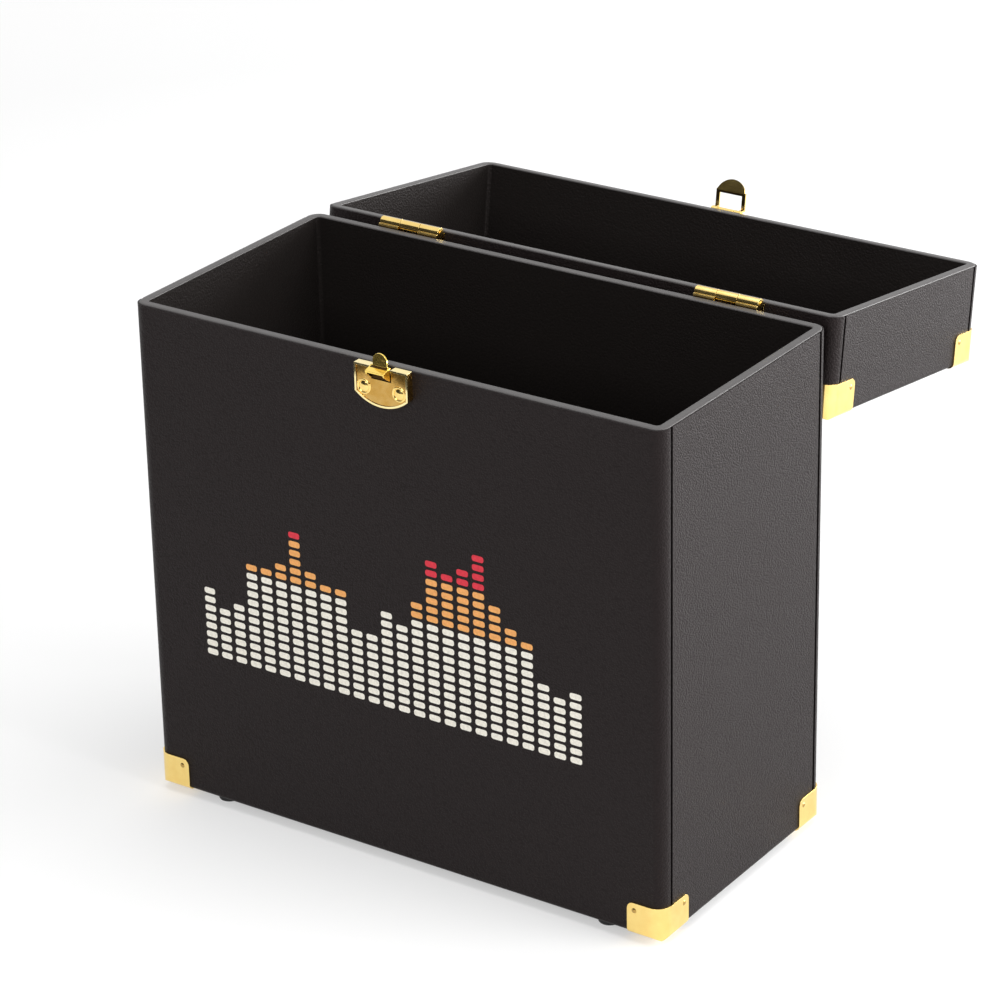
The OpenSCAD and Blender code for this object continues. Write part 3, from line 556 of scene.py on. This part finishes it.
def turned(profile, sides=24):
    """Points and faces of a closed profile of (radius, rise), turned once round -Y in that many steps."""
    angle = np.linspace(0, 2 * np.pi, sides, endpoint=False)
    radius, rise = np.hsplit(np.asarray(profile), 2)
    points = np.stack([radius * np.cos(angle), -rise + 0 * angle, radius * np.sin(angle)], -1)
    return points.reshape(-1, 3), woven(len(profile), sides, True)


boss_radius, boss_half, boss_rise, boss_sunk = 0.0038, 0.00075, 0.00055, 0.0003
screw_x, plate_face_y, screw_z = 0.0113, -0.1767, 0.2867
arc = np.linspace(0, np.pi, 9)
boss = np.column_stack([boss_radius - boss_half * np.cos(arc), boss_rise * np.sin(arc)])
boss = np.concatenate([boss, [[boss_radius + boss_half, -boss_sunk], [boss_radius - boss_half, -boss_sunk]]])
points, quads = turned(boss)
seats = np.array([[-screw_x, plate_face_y, screw_z], [screw_x, plate_face_y, screw_z]])
faces = np.concatenate([quads, quads + len(points)])
points = (seats[:, None] + points).reshape(-1, 3)
new_piece("catch_bosses", points, faces.tolist(), gold, "case")
dressed("catch_screws", gold)


# The hood's hollow, the space below its sloping roof and between its cheeks, is painted dark as shade.
roof_slope, roof_line, roof_top_z = 0.33, 0.2782, 0.3004
cheek_x, hollow_front_y, hollow_back_y = 0.0053, -0.1824, -0.1773
tab_foot_z = 0.3006
lever_gold, shader, place = finish("lever_gold", Metallic=1.0)
across, depth, height = axes(place)
below = across.maths("LESS_THAN", height * roof_slope - depth, roof_line)
below = below * across.maths("LESS_THAN", height, roof_top_z)
within = across.maths("LESS_THAN", across.maths("ABSOLUTE", across, 0.0), cheek_x)
inside = across.maths("GREATER_THAN", depth, hollow_front_y) * across.maths("LESS_THAN", depth, hollow_back_y)
painted_shade_hollow = below * within * inside
painted_shade_hollow.between((1.0, 0.72, 0.17), (0.05, 0.026, 0.006)).into(shader, "Base Color")
(painted_shade_hollow * 0.25 + 0.14).into(shader, "Roughness")
lean = across.maths("MAXIMUM", height - tab_foot_z, 0.0)
bumped(noise(place, 0.003, 1.5) * 0.0001 - lean * 0.26, 1.0, shader)
dressed("catch_lever", lever_gold, strip_edge)

# ---- Hinges and hasp ----
# Brass strip, cut, rolled into knuckles round their pins and plated like the caps. The hinges are screwed on
# over the back's covers, and the hasp's leaf is riveted to the lid.
for node in ("hinge_left_body_leaf", "hinge_right_body_leaf", "hinge_left_lid_leaf", "hinge_right_lid_leaf"):
    dressed(node, gold, pressed_edge)
for node in ("hasp_leaf", "hasp"):
    dressed(node, gold, strip_edge)
for node in ("hinge_body_screws", "hinge_lid_screws", "hinge_pins", "hasp_rivets", "hasp_pin"):
    dressed(node, gold)

# ---- Handle's brackets and core ----
# Two folded eyes riveted to the lid's top, and a flat core bent down at both ends, which turns on their pins.
for node in ("handle_bracket_left", "handle_bracket_right", "handle_core"):
    dressed(node, gold, strip_edge)
for node in ("handle_rivets", "handle_pins"):
    dressed(node, gold)

# ---- Catch pin and spring, foot screws ----
# Bright steel wire and steel screws, with fine drawing marks.
steel = speckled("bright_steel", size=0.0006, detail=3.0, colours=((0.42, 0.42, 0.43), (0.62, 0.62, 0.64)),
                 roughness=(0.22, 0.2), depth=0.00002, Metallic=1.0)
for node in ("catch_pin", "catch_spring", "foot_screws"):
    dressed(node, steel)

# ---- Feet ----
# Four moulded rubber feet, tapered, each held by a screw sunk in its middle.
foot_edge = 0.0006
rubber = speckled("foot_rubber", size=0.0008, detail=4.0,
                  colours=((0.010, 0.010, 0.010), (0.022, 0.021, 0.021)),
                  roughness=(0.6, 0.2), depth=0.00008, Specular_IOR_Level=0.4)
dressed("feet", rubber, foot_edge)

# ---- Handle grip ----
# A strip of leathercloth folded round the core and a firm pad, closed with two rows of stitches along the
# side that faces the case. Its ends are tucked in round the core.
pin_y, pin_z, rise = 0.079084, 0.227128, 0.033
grip_half, half_width, half_thick = 0.05675, 0.0095, 0.0065
end_length, end_power, squareness = 0.006, 2.4, 0.7
slimmest, belly = 0.965, 0.035
seam_depth, seam_spread = 0.035, 0.09


def grip_section(x, angle):
    """Point of the grip at x along it and at an angle round it: a superellipse, drawn in at both ends,
    slightly fuller in the middle, and sunk along the seam."""
    reach = np.clip((grip_half - np.abs(x)) / end_length, 0, 1)
    full = (1 - (1 - reach) ** end_power) ** (1 / end_power)
    full = full * (slimmest + belly * np.cos(x / grip_half * np.pi / 2))
    wide, thick = [np.sign(f(angle)) * np.abs(f(angle)) ** squareness for f in (np.cos, np.sin)]
    seam = 1 - seam_depth * np.exp(-(((angle - np.pi / 2) / seam_spread) ** 2))
    y = pin_y + half_width * full * wide
    z = pin_z - rise + half_thick * full * seam * thick
    return np.stack([x, y, z], -1)


straight_half, seam_half = 0.049, 0.048
end_steps = grip_half - end_length * (1 - np.sin(np.linspace(0, np.pi / 2, 10)))
along = np.concatenate([-end_steps[::-1], np.linspace(-straight_half, straight_half, 50), end_steps])
angles = np.linspace(0, 2 * np.pi, 96, endpoint=False)
grid = grip_section(*np.meshgrid(along, angles, indexing="ij"))
quads = woven(len(along), len(angles))
grip_cloth = leathercloth("grip_leathercloth", (0.016, 0.014, 0.0145), 0.0012, 0.00012)
new_piece("grip", grid.reshape(-1, 3), quads.tolist(), grip_cloth, "handle", ["handle_grip"])

thread, shader, place = finish("black_thread", Specular_IOR_Level=0.3)
twist = place.node("ShaderNodeTexWave", {"wave_type": "BANDS", "bands_direction": "DIAGONAL"},
                   {"Vector": place, "Scale": 900.0, "Distortion": 1.0})
twist.between((0.012, 0.011, 0.011), (0.05, 0.046, 0.045)).into(shader, "Base Color")
(0.75 + twist * 0.1).into(shader, "Roughness")
bumped(twist, 0.00005, shader)
length, bulk = 0.0012, 0.00035
stitch_pitch, row_offset, stitch_lift = 0.0032, 0.0016, 0.975
lobe = np.linspace(0, np.pi, 7)
turn = np.linspace(0, 2 * np.pi, 8, endpoint=False)
stitch = np.stack([
    np.repeat(-length * np.cos(lobe), len(turn)).reshape(len(lobe), len(turn)),
    bulk * np.outer(np.sin(lobe) ** 0.5, np.cos(turn)),
    bulk * np.outer(np.sin(lobe) ** 0.5, np.sin(turn)),
], -1).reshape(-1, 3)
quads = woven(len(lobe), len(turn))
points, faces = [], []
for offset in (-row_offset, row_offset):
    for middle in np.arange(-seam_half, seam_half + 0.0001, stitch_pitch):
        faces += (quads + len(stitch) * len(points)).tolist()
        points.append(stitch + [middle, pin_y + offset, pin_z - rise + half_thick * stitch_lift])
new_piece("grip_stitches", np.concatenate(points), faces, thread, "handle")
